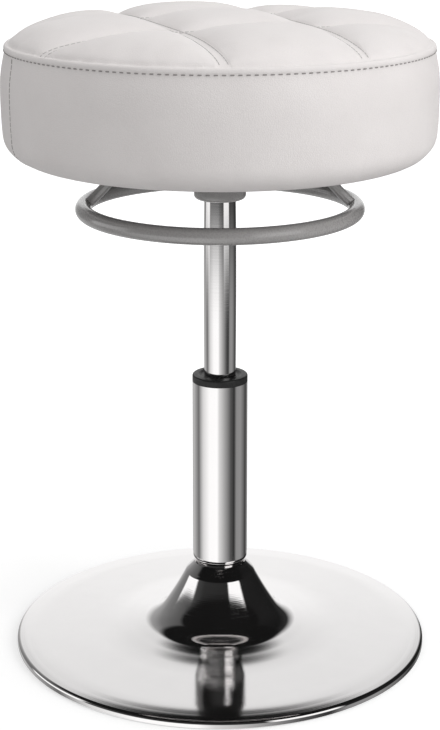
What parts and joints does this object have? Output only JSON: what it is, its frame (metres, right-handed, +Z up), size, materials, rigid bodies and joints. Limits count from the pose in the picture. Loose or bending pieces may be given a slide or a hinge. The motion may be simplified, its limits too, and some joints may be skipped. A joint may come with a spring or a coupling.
{
  "type": "vanity stool",
  "caption": "Round vanity stool with a tufted seat that swivels and rises on a gas lift, a ring lever under the seat, a chrome column and a trumpet base.",
  "frame": {"origin": "centre of the base on the floor", "axes": "+Z up along the column, -Y towards the front of the ring lever, +X to the sitter's left"},
  "size_m": [0.38, 0.38, 0.5785],
  "materials": {
    "chrome": "polished",
    "zinc_steel": "satin",
    "grey_paint": "gloss",
    "black_plastic": "satin",
    "natural_nylon": "satin",
    "black_rubber": "matte",
    "plywood": "matte",
    "seat_foam": "matte",
    "white_vinyl": "satin",
    "black_nonwoven": "matte"
  },
  "bodies": {
    "base": {"base_shell": "chrome", "floor_ring": "black_rubber", "base_socket": "zinc_steel", "base_brace": "zinc_steel", "column_tube": "chrome", "column_end_plate": "zinc_steel", "guide_bush": "black_plastic", "thrust_washer_lower": "zinc_steel"},
    "ball_cage": {"bearing_cage": "natural_nylon", "bearing_ball_1": "zinc_steel", "bearing_ball_2": "zinc_steel", "bearing_ball_3": "zinc_steel", "bearing_ball_4": "zinc_steel", "bearing_ball_5": "zinc_steel", "bearing_ball_6": "zinc_steel"},
    "rod": {"piston_rod": "chrome", "piston": "zinc_steel", "piston_seal": "black_rubber", "thrust_washer_upper": "zinc_steel", "bumper": "black_rubber", "retaining_clip": "zinc_steel"},
    "seat": {"gas_cylinder": "chrome", "rod_guide": "natural_nylon", "pressure_tube": "zinc_steel", "valve_body": "zinc_steel", "seat_socket": "zinc_steel", "hub_cap": "grey_paint", "seat_plate": "zinc_steel", "shaft_bush_left": "natural_nylon", "shaft_bush_right": "natural_nylon", "plate_bolt_1": "zinc_steel", "plate_bolt_2": "zinc_steel", "plate_bolt_3": "zinc_steel", "plate_bolt_4": "zinc_steel", "plate_washer_1": "zinc_steel", "plate_washer_2": "zinc_steel", "plate_washer_3": "zinc_steel", "plate_washer_4": "zinc_steel", "t_nut_1": "zinc_steel", "t_nut_2": "zinc_steel", "t_nut_3": "zinc_steel", "t_nut_4": "zinc_steel", "seat_board": "plywood", "seat_foam": "seat_foam", "cover_top": "white_vinyl", "side_band": "white_vinyl", "dust_cover": "black_nonwoven"},
    "lever": {"lever_ring": "grey_paint", "ring_arm_left": "grey_paint", "ring_arm_right": "grey_paint", "cross_shaft": "zinc_steel", "release_finger": "zinc_steel"},
    "pin": {"valve_pin": "zinc_steel"}
  },
  "joints": [
    {"name": "swivel", "type": "hinge", "parent": "base", "child": "rod", "pos_m": [0, 0, 0], "axis": [0, 0, 1], "continuous": true},
    {"name": "cage_turn", "type": "hinge", "parent": "base", "child": "ball_cage", "pos_m": [0, 0, 0], "axis": [0, 0, 1], "continuous": true},
    {"name": "height", "type": "slide", "parent": "rod", "child": "seat", "axis": [0, 0, 1], "range_m": [-0.14, 0]},
    {"name": "release", "type": "hinge", "parent": "seat", "child": "lever", "pos_m": [0, -0.016, 0.4467], "axis": [-1, 0, 0], "range_deg": [0, 8], "stiffness_Nm_per_rad": 10, "springref_deg": -8.59},
    {"name": "valve_press", "type": "slide", "parent": "seat", "child": "pin", "axis": [0, 0, -1], "range_m": [0, 0.0025]}
  ],
  "couplings": [
    {"joint": "cage_turn", "follows": "swivel", "ratio": 0.5},
    {"joint": "valve_press", "follows": "release", "m_per_rad": 0.016}
  ]
}
